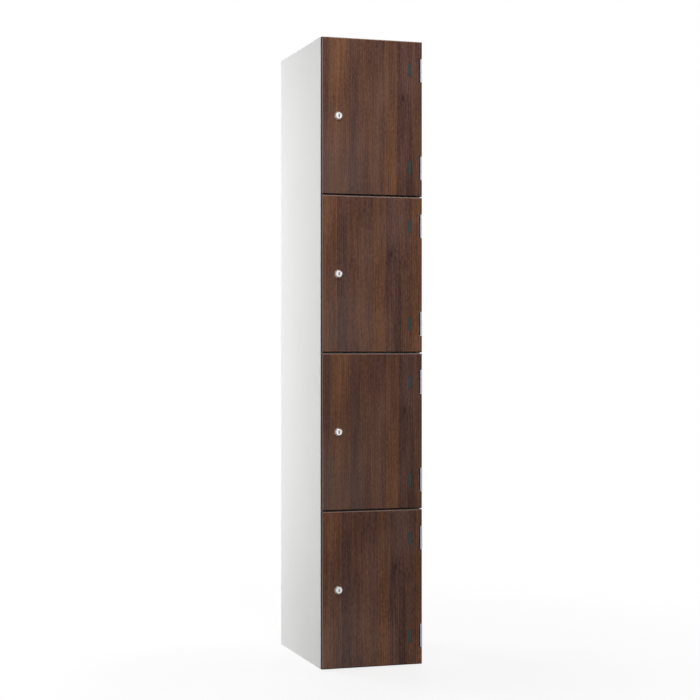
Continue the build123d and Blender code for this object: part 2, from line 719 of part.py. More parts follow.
def make_coin_lever():
    """Lever with its foot swung out of the coin channel; throwing the bolt brings the foot under the coin."""
    rest_turn = -2 * LEVER_HALF_SWING
    tip = turned(*LEVER_TIP, rest_turn)
    arm_top = turned(0, PEG_ARM + LEVER_PAST_PEG, -LEVER_HALF_SWING)
    slot_mid = turned(0, PEG_ARM + LEVER_SLOT_RISE, -LEVER_HALF_SWING)
    with BuildPart() as coin_lever:
        with BuildSketch(depth_plane(LEVER_BACK)):
            for end, end_r in ((arm_top, LEVER_TOP_R), (tip, LEVER_TIP_R)):
                with BuildLine():
                    CenterArc((LEVER_X, LEVER_Z), LEVER_HUB_R, 0, 360)
                    CenterArc(end, end_r, 0, 360)
                make_hull()
            with Locations((LEVER_X, LEVER_Z)):
                Circle(LEVER_PIVOT_R + FIT_GAP, mode=Mode.SUBTRACT)
            with Locations(slot_mid):
                SlotOverall(
                    LEVER_SLOT_LENGTH,
                    LEVER_SLOT_WIDTH,
                    rotation=90 - LEVER_HALF_SWING,
                    mode=Mode.SUBTRACT,
                )
        extrude(amount=LEVER_THICK)
    return coin_lever.part


def make_lever_spring():
    """Hairpin strip spring hooked on its post, resting against the lever's upper arm."""
    end_x = PEG_X + SPRING_END_FROM_PEG
    eye_r = SPRING_POST_R + RUNNING_GAP
    with BuildPart() as lever_spring:
        with BuildSketch(depth_plane(LEVER_BACK - SPRING_SIDE_PLAY)):
            with BuildLine():
                strip_line = Polyline(
                    (SPRING_X - SPRING_POST_R - SPRING_STRIP, SPRING_Z),
                    (end_x, SPRING_ELBOW_Z),
                    (end_x, SPRING_END_Z),
                )
                offset(strip_line, amount=SPRING_STRIP, side=Side.LEFT)
            make_face()
            with Locations((SPRING_X, SPRING_Z)):
                Circle(eye_r + SPRING_STRIP)
                Circle(eye_r, mode=Mode.SUBTRACT)
        extrude(amount=LEVER_THICK - 2 * SPRING_SIDE_PLAY)
    return lever_spring.part


def make_lock_cover():
    """Cover with a raised coin entry and the cup that catches a returned coin."""
    cup_mid = (COIN_X, CASE_BOTTOM + CUP_HEIGHT / 2)
    entry_height = COIN_SLOT_HEIGHT + ENTRY_PAST_SLOT
    with BuildPart() as lock_cover:
        with BuildSketch(depth_plane(COVER_BACK)):
            with Locations((CASE_MID_X, CASE_MID_Z)):
                RectangleRounded(CASE_WIDTH, CASE_HEIGHT, CASE_CORNER_R)
        extrude(amount=COVER)
        outer_rim = lock_cover.faces().sort_by(Axis.Y)[-1].edges()
        fillet(outer_rim, radius=COVER_EASE)

        with BuildSketch(depth_plane(COVER_BACK + CUP_PROUD)):
            with Locations(cup_mid):
                RectangleRounded(CUP_WIDTH, CUP_HEIGHT, CASE_CORNER_R - FIT_GAP)
        extrude(amount=CUP_PROUD + COVER / 2)
        fillet(lock_cover.faces().sort_by(Axis.Y)[-1].edges(), radius=CUP_EASE)
        with BuildSketch(depth_plane(COVER_BACK + ENTRY_PROUD)):
            with Locations((COIN_X, COIN_Z)):
                RectangleRounded(ENTRY_WIDTH, entry_height, CASE_CORNER_R)
        extrude(amount=ENTRY_PROUD + COVER / 2)

        # Hollow of the cup, open at its top and through the cover.
        hollow_depth = CUP_PROUD + COVER - CASE_WALL
        with Locations((cup_mid[0], COVER_BACK - COVER + hollow_depth / 2, cup_mid[1] + CASE_WALL)):
            Box(CUP_WIDTH - 2 * CASE_WALL, hollow_depth, CUP_HEIGHT, mode=Mode.SUBTRACT)
        with BuildSketch(depth_plane(COVER_BACK + 2 * ENTRY_PROUD)):
            with Locations((COIN_X, COIN_Z)):
                Rectangle(COIN_SLOT_WIDTH, COIN_SLOT_HEIGHT)
            with Locations(*COVER_SCREWS):
                Circle(SCREW_R + FIT_GAP)
        extrude(amount=2 * ENTRY_PROUD + 2 * COVER, mode=Mode.SUBTRACT)
    return lock_cover.part


def make_screw():
    """Button-head socket screw M4 x 12 pointing to the front, turned about its axis; y = 0 is under the head."""
    with BuildPart() as screw:
        with BuildSketch(Plane.XY):
            with BuildLine():
                shank = Polyline(
                    (0, SCREW_HEAD_HEIGHT),
                    (0, -SCREW_LENGTH),
                    (SCREW_R - SCREW_TIP_EASE, -SCREW_LENGTH),
                    (SCREW_R, -SCREW_LENGTH + SCREW_TIP_EASE),
                    (SCREW_R, 0),
                    (SCREW_HEAD_R, 0),
                    (SCREW_HEAD_R, SCREW_HEAD_RIM),
                )
                crown = Line(shank @ 0, (SCREW_HEAD_R / 2, SCREW_HEAD_HEIGHT))
                shoulder = (SCREW_HEAD_R - SCREW_HEAD_RIM - 0.1, SCREW_HEAD_HEIGHT - 0.7)
                ThreePointArc(crown @ 1, shoulder, shank @ 1)
            make_face()
        revolve(axis=Axis.Y)
        with BuildSketch(depth_plane(SCREW_HEAD_HEIGHT)):
            RegularPolygon(radius=SCREW_SOCKET_R, side_count=6, major_radius=False)
        extrude(amount=SCREW_SOCKET_DEPTH, mode=Mode.SUBTRACT)
    return screw.part


def screw_spots():
    """Where one door's screws sit: hinge leaves, lock case, lock cover."""
    hinge = [
        (CLAMP_X, DOOR_REAR + LEAF, level + side * CLAMP_SCREW_OFFSET)
        for level in HINGE_LEVELS
        for side in (1, -1)
    ]
    case = [(x, CASE_SEAT, z) for x, z in CASE_SCREWS]
    cover = [(x, COVER_BACK, z) for x, z in COVER_SCREWS]
    return hinge + case + cover


# ---- write the carcass ------------------------------------------------------------------------------------
save(make_left_side(), "left_side_panel")
save(make_right_side(), "right_side_panel")
save(make_back_panel(), "back_panel")
save(make_deck(END_RAIL, FRONT + SHEET + FIT_GAP), "top_panel", HEIGHT)
save(make_base_panel(), "base_panel")
shelf = make_deck(SHELF_RAIL_ABOVE + SHELF_RAIL_BELOW, FRONT + UPRIGHT_LIP + FIT_GAP)
for name, tier in (("shelf_upper", 3), ("shelf_middle", 2), ("shelf_lower", 1)):
    save(shelf, name, tier * DOOR_PITCH + SHELF_RAIL_ABOVE)

all_hinges = [(0, 0, mid + level) for mid in TIER_MIDS for level in HINGE_LEVELS]
save(group(make_frame_leaf(), all_hinges), "hinge_frame_leaves")
save(group(make_hinge_pin(), all_hinges), "hinge_pins")
save(group(make_rivet(), [(RIVET_X, FRONT, z) for z in rivet_levels()]), "hinge_rivets")
save(group(make_buffer(), [(x, FRONT, z) for x, z in buffer_spots()]), "door_buffers")

# ---- write the four doors ---------------------------------------------------------------------------------
door_hinges = [(0, 0, level) for level in HINGE_LEVELS]
door_pieces = {
    "panel": make_door_panel(),
    "hinge_leaves": group(make_door_leaf(), door_hinges),
    "clamp_bars": group(make_clamp_bar(), door_hinges),
    "screws": group(make_screw(), screw_spots()),
    "lock_case": make_lock_case(),
    "lock_cover": make_lock_cover(),
    "lock_barrel": make_lock_barrel(),
    "lock_plug": make_lock_plug(),
    "lock_cam": make_lock_cam(),
    "lock_bolt": make_lock_bolt(),
    "coin_lever": make_coin_lever(),
    "lever_spring": make_lever_spring(),
}
for number, mid in enumerate(TIER_MIDS, start=1):
    for piece_name, piece in door_pieces.items():
        save(piece, f"door_{number}_{piece_name}", mid)
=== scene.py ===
"""Looks of the coin operated locker: procedural materials on the CAD nodes, a pale studio and the camera.

Lengths are metres in the CAD frame, with +X to the hinge side, -Y to the front and +Z up. A noise's scale is
its number of features a metre.
"""

from math import pi, radians

import bmesh
import bpy
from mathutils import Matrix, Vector


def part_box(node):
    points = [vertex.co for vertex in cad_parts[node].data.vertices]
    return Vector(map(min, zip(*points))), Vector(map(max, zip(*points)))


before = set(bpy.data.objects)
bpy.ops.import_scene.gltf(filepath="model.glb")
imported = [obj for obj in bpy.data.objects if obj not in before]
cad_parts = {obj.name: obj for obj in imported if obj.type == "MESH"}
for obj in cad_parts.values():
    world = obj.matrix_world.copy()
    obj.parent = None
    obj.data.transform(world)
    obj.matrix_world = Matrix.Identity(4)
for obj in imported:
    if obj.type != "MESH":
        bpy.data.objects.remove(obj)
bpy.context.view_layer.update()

MM = 0.001
DOORS = (1, 2, 3, 4)


def linear(red, green, blue):
    """Display colour, 0 to 255 a channel, as the linear colour that shaders take."""
    def channel(value):
        share = value / 255
        return share / 12.92 if share <= 0.04045 else ((share + 0.055) / 1.055) ** 2.4
    return (channel(red), channel(green), channel(blue), 1.0)


# ---- shader writing ----------------------------------------------------------------------------------------
class Nodes:
    """A node tree, written as short calls that add a node and give back its output."""

    def __init__(self, tree):
        self.tree = tree

    def node(self, kind, **settings):
        made = self.tree.nodes.new(kind)
        for key, value in settings.items():
            setattr(made, key, value)
        return made

    def feed(self, socket, value):
        """Links an output to a socket, or sets the socket's own value."""
        if isinstance(value, bpy.types.NodeSocket):
            self.tree.links.new(value, socket)
        else:
            socket.default_value = value

    def calc(self, operation, first, second=0.0, clamp=False):
        made = self.node("ShaderNodeMath", operation=operation, use_clamp=clamp)
        self.feed(made.inputs[0], first)
        self.feed(made.inputs[1], second)
        return made.outputs[0]

    def span(self, value, low, high, to_low=0.0, to_high=1.0, smooth=False):
        """The value's stretch from low to high, carried to another range and held at its ends."""
        made = self.node("ShaderNodeMapRange", interpolation_type="SMOOTHSTEP" if smooth else "LINEAR")
        for socket, setting in zip(made.inputs[:5], (value, low, high, to_low, to_high)):
            self.feed(socket, setting)
        return made.outputs[0]

    def blend(self, share, first, second, data_type="RGBA"):
        """First at share 0 and second at share 1: two colours, or two numbers with data_type FLOAT."""
        made = self.node("ShaderNodeMix", data_type=data_type)
        self.feed(made.inputs["Factor"], share)
        self.feed(made.inputs["A"], first)
        self.feed(made.inputs["B"], second)
        return made.outputs["Result"]

    def ramp(self, value, stops, interpolation="LINEAR"):
        """Colour for a value from 0 to 1, by stops of (position, colour) in rising order."""
        made = self.node("ShaderNodeValToRGB")
        made.color_ramp.interpolation = interpolation
        elements = made.color_ramp.elements
        elements.remove(elements[1])
        elements[0].position, elements[0].color = stops[0]
        for position, colour in stops[1:]:
            elements.new(position).color = colour
        self.feed(made.inputs[0], value)
        return made.outputs[0]

    def axes(self, vector):
        made = self.node("ShaderNodeSeparateXYZ")
        self.feed(made.inputs[0], vector)
        return made.outputs

    def vector(self, x, y, z):
        made = self.node("ShaderNodeCombineXYZ")
        for socket, value in zip(made.inputs, (x, y, z)):
            self.feed(socket, value)
        return made.outputs[0]

    def length(self, vector):
        made = self.node("ShaderNodeVectorMath", operation="LENGTH")
        self.feed(made.inputs[0], vector)
        return made.outputs["Value"]


class Shader(Nodes):
    """One material. Its place is the point's own position on the object, so that patterns ride along."""

    def __init__(self, name):
        self.material = bpy.data.materials.new(name)
        self.material.use_nodes = True
        super().__init__(self.material.node_tree)
        self.surface = self.tree.nodes["Principled BSDF"]
        self.place = self.node("ShaderNodeTexCoord").outputs["Object"]

    def set(self, **inputs):
        """Sets or links inputs of the surface shader; an underscore stands for a space."""
        for key, value in inputs.items():
            self.feed(self.surface.inputs[key.replace("_", " ")], value)

    def noise(self, scale, detail=3.0, roughness=0.5, place=None):
        """Noise at one scale, or at one for each axis: it is drawn out along an axis of small scale."""
        stretched = self.node("ShaderNodeVectorMath", operation="MULTIPLY")
        self.feed(stretched.inputs[0], self.place if place is None else place)
        stretched.inputs[1].default_value = scale if isinstance(scale, tuple) else (scale, scale, scale)
        made = self.node("ShaderNodeTexNoise")
        self.feed(made.inputs["Vector"], stretched.outputs[0])
        made.inputs["Scale"].default_value = 1.0
        made.inputs["Detail"].default_value = detail
        made.inputs["Roughness"].default_value = roughness
        return made.outputs["Fac"]

    def even(self, noise, low=0.0, high=1.0):
        """A noise carried to the range from low to high by its usual stretch, which is 0.3 to 0.7."""
        return self.span(noise, 0.3, 0.7, low, high)

    def centred(self, pattern, amount):
        """A pattern from 0 to 1, moved to lie about zero and multiplied by an amount."""
        return self.calc("MULTIPLY", self.calc("SUBTRACT", pattern, 0.5), amount)

    def bump(self, height, depth, strength=1.0, under=None):
        """Raises the surface by the height pattern, at most depth metres; under is an earlier bump."""
        made = self.node("ShaderNodeBump")
        made.inputs["Strength"].default_value = strength
        made.inputs["Distance"].default_value = depth
        self.feed(made.inputs["Height"], height)
        if under is not None:
            self.feed(made.inputs["Normal"], under)
        return made.outputs["Normal"]

    def facing(self):
        """The flat face's own direction, in the object's axes, so that it turns with a door."""
        made = self.node("ShaderNodeVectorTransform", vector_type="NORMAL")
        made.convert_from = "WORLD"
        made.convert_to = "OBJECT"
        self.feed(made.inputs[0], self.node("ShaderNodeNewGeometry").outputs["True Normal"])
        return self.axes(made.outputs[0])


# ---- walnut doors ------------------------------------------------------------------------------------------
# One printed board, as (left edge in mm from the door's left side, tone, warmth): tone 0 is the board's mean.
PLANKS = (
    (-60, 0.00, 0.40), (-20, 0.20, 0.60), (0, -0.15, 0.10), (16, 0.22, 1.00), (49, -0.10, 0.50),
    (55, 0.30, 0.90), (78, -0.50, 0.00), (107, 0.10, 0.45), (161, -0.10, 0.30), (186, 0.50, 1.00),
    (197, 0.10, 0.80), (223, -0.60, 0.00), (269, 0.00, 0.35), (305, 0.30, 0.80), (345, -0.30, 0.10),
)
PLANKS_FROM = -80 * MM
PLANKS_TO = 360 * MM
# The edges between planks sway over the board's height, and are ragged close up.
PLANK_SWAY = 9 * MM
PLANK_RAGGED = 10 * MM
# Doors 2 and 4 take another slice of the grain patterns than doors 1 and 3. Each board is shifted to the side
# and has its own mean tone, which is partly painted light and shade: it is set per door to how brightly each
# door is lit.
BOARD_SHIFT = {1: 0 * MM, 2: -35 * MM, 3: 5 * MM, 4: -22 * MM}
BOARD_SLICE = {1: 0.000, 2: 0.310, 3: 0.004, 4: 0.306}
BOARD_TONE_AND_LIGHT = {1: 0.515, 2: 0.575, 3: 0.520, 4: 0.490}
# The knot's middle is measured from the door's left side and from its mid-height. Its core and its swirl
# begin at the first distance and are full at the second, and distances up the board count for less.
KNOT = (242 * MM, 59 * MM)
KNOT_UP_SHARE = 0.36
KNOT_CORE = (5.5 * MM, 1.2 * MM)
KNOT_SWIRL = (26 * MM, 3 * MM)
# Grain patterns as (scale on X, Y and Z; detail; roughness).
GRAIN = {
    "sway": ((5.0, 1.0, 1.6), 2.0, 0.50),
    "ragged": ((260.0, 1.0, 22.0), 4.0, 0.60),
    "wander": ((7.0, 1.0, 0.9), 3.0, 0.45),
    "figure": ((26.0, 1.0, 2.6), 3.0, 0.55),
    "broad": ((34.0, 1.0, 1.9), 4.0, 0.60),
    "streaks": ((420.0, 1.0, 7.0), 4.0, 0.62),
    "fibres": ((1900.0, 1.0, 24.0), 3.0, 0.60),
    "pores": ((1300.0, 1.0, 62.0), 2.0, 0.50),
    "cloud": ((9.0, 1.0, 5.0), 3.0, 0.50),
    "mottle": ((210.0, 1.0, 85.0), 4.0, 0.65),
}
# Growth lines are a sine wave across the board, in radians a metre, which patterns bend by so many radians.
RING_PHASE = 1250.0
RING_BENDS = {"wander": 52.0, "figure": 9.0, "plank": 37.0, "knot": 11.0}
# How much each pattern moves the tone, and how much pores and the knot take from it.
PLANK_SHARE = 0.38
TONE_SHARES = {"rings": 0.20, "broad": 1.00, "streaks": 0.95, "fibres": 0.36, "cloud": 0.60, "mottle": 1.05}
PORE_DARK = 0.16
KNOT_CORE_DARK = 0.55
KNOT_SWIRL_DARK = 0.10
# How deep a pore lies, as a share of the streaks' height.
PORE_DEPTH = 0.8
# Dark, mean and light grain, at three places of the tone's range.
GRAIN_STOPS = (0.08, 0.50, 0.95)
COOL_GRAIN = (linear(64, 40, 36), linear(104, 71, 61), linear(138, 100, 84))
WARM_GRAIN = (linear(70, 43, 32), linear(114, 75, 55), linear(152, 104, 72))
WARMTH_DRIFT = 0.3
GREY_PATCH = linear(112, 92, 84)
GREY_PATCH_SHARE = 0.12
# The painted sheen, a greyish reflection painted into the decor, grows from the first place to the second:
# heights from the door's middle, and places on X.
SHEEN_TINT = linear(138, 127, 126)
SHEEN_HEIGHTS = (120 * MM, -200 * MM)
SHEEN_SIDES = (80 * MM, -140 * MM)
SHEEN_SHARE = 0.20
# The door's edge: core, its paper layers, the milled bevel and its painted highlight along the top and the
# lock side, and the decor sheets.
CORE = linear(13, 11, 11)
CORE_LAYER = linear(24, 20, 19)
CORE_MILLED = linear(34, 27, 24)
CORE_PAINTED_HIGHLIGHT = linear(176, 146, 132)
DECOR_SKIN = 0.4 * MM
DECOR_SKIN_SHARE = 0.6
# How squarely a face looks to the front or the back, from which it counts as decor or as bevel.
DECOR_SQUARE = 0.95
BEVEL_SQUARE = 0.4
DECOR_SPECULAR = 0.18


def plank_at(shader, place):
    """Tone and warmth of the plank at a place across the board; tone is half of the table's."""
    stops = []
    for edge, tone, warmth in PLANKS:
        position = (edge * MM - PLANKS_FROM) / (PLANKS_TO - PLANKS_FROM)
        stops.append((position, (0.5 + tone / 2, warmth, 0.0, 1.0)))
    packed = shader.ramp(shader.span(place, PLANKS_FROM, PLANKS_TO), stops, interpolation="CONSTANT")
    parts = shader.node("ShaderNodeSeparateColor")
    shader.feed(parts.inputs[0], packed)
    return shader.calc("SUBTRACT", parts.outputs[0], 0.5), parts.outputs[1]


def walnut_pattern(shader, door, left, middle):
    """Colour and height of a door's printed walnut, with its painted sheen and painted light, and its fibres;
    left and middle are places on X and Z.
    """
    right, _, up = shader.axes(shader.place)
    across = shader.calc("SUBTRACT", right, left + BOARD_SHIFT[door])
    along = shader.calc("SUBTRACT", up, middle)
    board = shader.vector(across, BOARD_SLICE[door], along)
    patterns = {}
    for name, (scale, detail, roughness) in GRAIN.items():
        patterns[name] = shader.noise(scale, detail, roughness, place=board)

    swayed = shader.calc("ADD", across, shader.centred(patterns["sway"], PLANK_SWAY))
    plank_place = shader.calc("ADD", swayed, shader.centred(patterns["ragged"], PLANK_RAGGED))
    patterns["plank"], plank_warmth = plank_at(shader, plank_place)

    from_knot_x = shader.calc("SUBTRACT", swayed, KNOT[0])
    from_knot_z = shader.calc("MULTIPLY", shader.calc("SUBTRACT", along, KNOT[1]), KNOT_UP_SHARE)
    knot_distance = shader.length(shader.vector(from_knot_x, 0.0, from_knot_z))
    knot_core = shader.span(knot_distance, *KNOT_CORE, smooth=True)
    patterns["knot"] = shader.span(knot_distance, *KNOT_SWIRL, smooth=True)

    # Growth lines run up the board, wander, and close round the knot.
    phase = shader.calc("MULTIPLY", swayed, RING_PHASE)
    for name, bend in RING_BENDS.items():
        phase = shader.calc("ADD", phase, shader.calc("MULTIPLY", patterns[name], bend))
    patterns["rings"] = shader.span(shader.calc("SINE", phase), -1.0, 1.0)
    pore_mask = shader.span(patterns["pores"], 0.58, 0.68, smooth=True)

    tone = shader.calc("MULTIPLY", patterns["plank"], PLANK_SHARE)
    # The board's mean tone, partly painted light and shade set per door.
    tone = shader.calc("ADD", tone, BOARD_TONE_AND_LIGHT[door])
    for name, amount in TONE_SHARES.items():
        tone = shader.calc("ADD", tone, shader.centred(patterns[name], amount))
    darks = ((pore_mask, PORE_DARK), (knot_core, KNOT_CORE_DARK), (patterns["knot"], KNOT_SWIRL_DARK))
    for mask, amount in darks:
        tone = shader.calc("SUBTRACT", tone, shader.calc("MULTIPLY", mask, amount))

    warmth_drift = shader.span(patterns["figure"], 0.35, 0.65, -WARMTH_DRIFT, WARMTH_DRIFT)
    grain = shader.blend(
        shader.calc("ADD", plank_warmth, warmth_drift, clamp=True),
        shader.ramp(tone, tuple(zip(GRAIN_STOPS, COOL_GRAIN))),
        shader.ramp(tone, tuple(zip(GRAIN_STOPS, WARM_GRAIN))),
    )
    grey_patch = shader.span(patterns["cloud"], 0.50, 0.72, smooth=True)
    grain = shader.blend(shader.calc("MULTIPLY", grey_patch, GREY_PATCH_SHARE), grain, GREY_PATCH)
    # Painted sheen: a paler, greyer reflection is painted into the decor towards the foot of the lock side.
    sheen_up = shader.span(along, *SHEEN_HEIGHTS, smooth=True)
    sheen_side = shader.span(right, *SHEEN_SIDES, smooth=True)
    painted_sheen = shader.calc("MULTIPLY", shader.calc("MULTIPLY", sheen_up, sheen_side), SHEEN_SHARE)
    grain = shader.blend(painted_sheen, grain, SHEEN_TINT)
    height = shader.calc("SUBTRACT", patterns["streaks"], shader.calc("MULTIPLY", pore_mask, PORE_DEPTH))
    return grain, height, patterns["fibres"]


def door_material(door):
    """Compact laminate: walnut decor on both faces, dark milled core on the edges and the bevel, with a
    painted highlight on the bevel along the top and the lock side.
    """
    low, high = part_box(f"door_{door}_panel")
    shader = Shader(f"walnut_laminate_{door}")
    grain, height, fibres = walnut_pattern(shader, door, low[0], (low[2] + high[2]) / 2)

    side, turn, rise = shader.facing()
    squareness = shader.calc("ABSOLUTE", turn)
    decor = shader.calc("GREATER_THAN", squareness, DECOR_SQUARE)
    bevelled = shader.calc("GREATER_THAN", squareness, BEVEL_SQUARE)

    # Pressed paper layers show as faint lines on the milled core.
    layers = shader.noise((6.0, 3200.0, 6.0), detail=2.0)
    cutter = shader.noise(420.0, detail=2.0)
    core = shader.blend(shader.span(layers, 0.35, 0.7), CORE, CORE_LAYER)
    # Painted highlight: the bevel is painted paler along the top and the lock side, the faces that the light
    # falls on.
    bevel_highlight = shader.span(shader.calc("SUBTRACT", rise, side), 0.4, 0.6)
    bevel_highlight = shader.calc("MULTIPLY", bevel_highlight, shader.span(cutter, 0.25, 0.6, 0.7, 1.0))
    milled_with_highlight = shader.blend(bevel_highlight, CORE_MILLED, CORE_PAINTED_HIGHLIGHT)
    # The decor sheets show as a thin brown line at both ends of the edge.
    depth = shader.axes(shader.place)[1]
    front_skin = shader.calc("LESS_THAN", depth, low[1] + DECOR_SKIN)
    rear_skin = shader.calc("GREATER_THAN", depth, high[1] - DECOR_SKIN)
    skin = shader.calc("MAXIMUM", front_skin, rear_skin)
    edge = shader.blend(bevelled, core, milled_with_highlight)
    edge = shader.blend(shader.calc("MULTIPLY", skin, DECOR_SKIN_SHARE), edge, COOL_GRAIN[1])

    grain_bump = shader.bump(height, 0.04 * MM, strength=0.6)
    press_texture = shader.noise(700.0, detail=2.0)
    shader.set(
        Base_Color=shader.blend(decor, edge, grain),
        Roughness=shader.blend(
            decor,
            shader.even(cutter, 0.60, 0.72),
            shader.even(fibres, 0.40, 0.50),
            data_type="FLOAT",
        ),
        Specular_IOR_Level=shader.calc("MULTIPLY", decor, DECOR_SPECULAR),
        Normal=shader.bump(press_texture, 0.02 * MM, strength=0.5, under=grain_bump),
    )
    return shader.material


# ---- painted steel -----------------------------------------------------------------------------------------
PAINT_DULL = linear(226, 226, 225)
PAINT_BRIGHT = linear(231, 231, 230)
PAINT_GRIT = linear(208, 208, 208)


def powder_coat():
    """Light grey powder coat: fine orange peel, a little sheen, tone that drifts by a hair over the panel."""
    shader = Shader("powder_coated_steel")
    peel = shader.noise(620.0, detail=2.0, roughness=0.45)
    grit = shader.noise(2600.0, detail=2.0)
    drift = shader.noise((3.0, 3.0, 1.4), detail=3.0)
    wobble = shader.noise((2.2, 2.2, 1.1), detail=1.0)
    colour = shader.blend(shader.even(drift), PAINT_DULL, PAINT_BRIGHT)
    flatness = shader.bump(wobble, 1.2 * MM, strength=0.25)
    skin = shader.bump(peel, 0.05 * MM, strength=0.5, under=flatness)
    shader.set(
        Base_Color=shader.blend(shader.span(grit, 0.62, 0.75, 0.0, 0.25), colour, PAINT_GRIT),
        Roughness=shader.even(peel, 0.50, 0.62),
        Specular_IOR_Level=0.2,
        Normal=shader.bump(grit, 0.01 * MM, strength=0.4, under=skin),
    )
    return shader.material


# ---- bare and plated metals --------------------------------------------------------------------------------
BRUSH_SCALE = 2400.0
# The scale of the metal's grain on each axis, as a share of BRUSH_SCALE: brush lines run along the small one.
ALONG_X = (0.05, 1.0, 1.0)
ALONG_Z = (1.0, 1.0, 0.05)
NO_LINES = (1.0, 1.0, 1.0)
RING_SCALE = 5200.0
# Metres that a radian about the lock's axis counts for, so that lathe rings are drawn out along themselves.
RING_DRAWN_OUT = 0.2 * MM
# Half the width and height of the painted shade in the keyway, which fades in from its rim to a share of
# them.
KEYWAY_HALF = (2.2 * MM, 5.6 * MM)
KEYWAY_FULL_SHARE = 0.9
# Behind the plug's face, where the painted shade begins and where it is full.
KEYWAY_DEPTHS = (0.02 * MM, 0.12 * MM)
# Black painted into the keyway as the slot's shade.
KEYWAY_SHADE_BLACK = linear(8, 8, 8)


def brushed_metal(name, dark, light, roughness, lines=ALONG_Z):
    """Metal with smudges from handling, and brush lines along one axis or an even grain."""
    shader = Shader(name)
    brushing = shader.noise(tuple(BRUSH_SCALE * share for share in lines), detail=3.0, roughness=0.6)
    smudge = shader.noise((45.0, 45.0, 22.0), detail=4.0, roughness=0.6)
    tone = shader.blend(shader.even(brushing), dark, light)
    shader.set(
        Base_Color=shader.blend(shader.span(smudge, 0.5, 0.75, 0.0, 0.3), tone, dark),
        Metallic=1.0,
        Roughness=shader.even(smudge, roughness - 0.05, roughness + 0.10),
        Normal=shader.bump(brushing, 0.02 * MM, strength=0.35),
    )
    return shader.material


def turned_metal(name, bright, dull, x, z, roughness, keyway_from=None):
    """Plated metal with lathe rings about the line through (x, z) along Y.

    keyway_from is the face's place on Y if it has a keyway, which is painted black from its mouth in as
    painted shade.
    """
    shader = Shader(name)
    right, depth, up = shader.axes(shader.place)
    from_x = shader.calc("SUBTRACT", right, x)
    from_z = shader.calc("SUBTRACT", up, z)
    reach = shader.length(shader.vector(from_x, 0.0, from_z))
    turn = shader.calc("MULTIPLY", shader.calc("ARCTAN2", from_z, from_x), RING_DRAWN_OUT)
    rings = shader.noise(RING_SCALE, detail=2.0, place=shader.vector(reach, depth, turn))
    handling = shader.noise(160.0, detail=4.0, roughness=0.65)
    tone = shader.blend(shader.span(handling, 0.52, 0.78, 0.0, 0.35), bright, dull)
    # The keyway gets painted shade: black from its mouth in.
    if keyway_from is not None:
        start, full = KEYWAY_DEPTHS
        keyway_shade = shader.span(depth, keyway_from + start, keyway_from + full)
        for offset, half in ((from_x, KEYWAY_HALF[0]), (from_z, KEYWAY_HALF[1])):
            within = shader.span(shader.calc("ABSOLUTE", offset), half, KEYWAY_FULL_SHARE * half)
            keyway_shade = shader.calc("MULTIPLY", keyway_shade, within)
        tone = shader.blend(keyway_shade, tone, KEYWAY_SHADE_BLACK)
    shader.set(
        Base_Color=tone,
        Metallic=1.0,
        Roughness=shader.even(handling, roughness - 0.04, roughness + 0.10),
        Normal=shader.bump(rings, 0.015 * MM, strength=0.3),
    )
    return shader.material


def satin_coat(name, dark, light, roughness):
    """Dark coated or oxidised steel with a soft sheen and slightly rubbed grain."""
    shader = Shader(name)
    texture = shader.noise(1500.0, detail=3.0)
    rub = shader.noise((120.0, 120.0, 40.0), detail=5.0, roughness=0.65)
    shader.set(
        Base_Color=shader.blend(shader.span(rub, 0.42, 0.72), dark, light),
        Metallic=0.35,
        Roughness=shader.even(rub, roughness - 0.06, roughness + 0.12),
        Normal=shader.bump(texture, 0.02 * MM, strength=0.5),
    )
    return shader.material


# ---- plastics and rubber -----------------------------------------------------------------------------------
def moulded_plastic(name, dark, light, roughness):
    """Moulded plastic with a spark-eroded texture and faint rub marks."""
    shader = Shader(name)
    spark = shader.noise(1400.0, detail=3.0, roughness=0.6)
    rub = shader.noise(60.0, detail=5.0, roughness=0.6)
    shader.set(
        Base_Color=shader.blend(shader.span(rub, 0.4, 0.75), dark, light),
        Roughness=shader.even(rub, roughness - 0.06, roughness + 0.10),
        Specular_IOR_Level=0.4,
        Normal=shader.bump(spark, 0.05 * MM, strength=0.5),
    )
    return shader.material


def rubber(name, dark, light):
    """Dark rubber with a dusty bloom."""
    shader = Shader(name)
    bloom = shader.noise(300.0, detail=4.0)
    shader.set(
        Base_Color=shader.blend(shader.span(bloom, 0.45, 0.75), dark, light),
        Roughness=shader.even(bloom, 0.62, 0.80),
        Specular_IOR_Level=0.3,
        Normal=shader.bump(bloom, 0.04 * MM, strength=0.4),
    )
    return shader.material


# ---- materials on the nodes --------------------------------------------------------------------------------
def dress(node, material):
    """Puts one material on every slot of a CAD node."""
    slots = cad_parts[node].data.materials
    slots.clear()
    slots.append(material)


steel = powder_coat()
nickel = brushed_metal("satin_nickel", linear(168, 168, 180), linear(202, 202, 212), 0.30)
bright_pin = brushed_metal("bright_pin_steel", linear(150, 150, 154), linear(190, 190, 194), 0.26)
zinc_plate = brushed_metal("zinc_plate", linear(150, 152, 158), linear(186, 188, 192), 0.36, NO_LINES)
die_cast = brushed_metal("die_cast_zinc", linear(164, 165, 168), linear(196, 197, 199), 0.38, ALONG_X)
spring_strip = brushed_metal("spring_strip", linear(120, 122, 128), linear(160, 162, 168), 0.28)
clamp_coat = satin_coat("clamp_bar_coat", linear(52, 60, 61), linear(64, 71, 72), 0.42)
black_oxide = satin_coat("black_oxide", linear(22, 22, 24), linear(44, 44, 46), 0.36)
case_plastic = moulded_plastic("lock_case_plastic", linear(26, 27, 29), linear(40, 41, 43), 0.50)
cover_plastic = moulded_plastic("lock_cover_plastic", linear(44, 46, 49), linear(60, 62, 65), 0.46)
orange_acetal = moulded_plastic("orange_acetal", linear(206, 98, 22), linear(222, 120, 40), 0.32)
buffer_rubber = rubber("buffer_rubber", linear(24, 24, 25), linear(46, 45, 45))

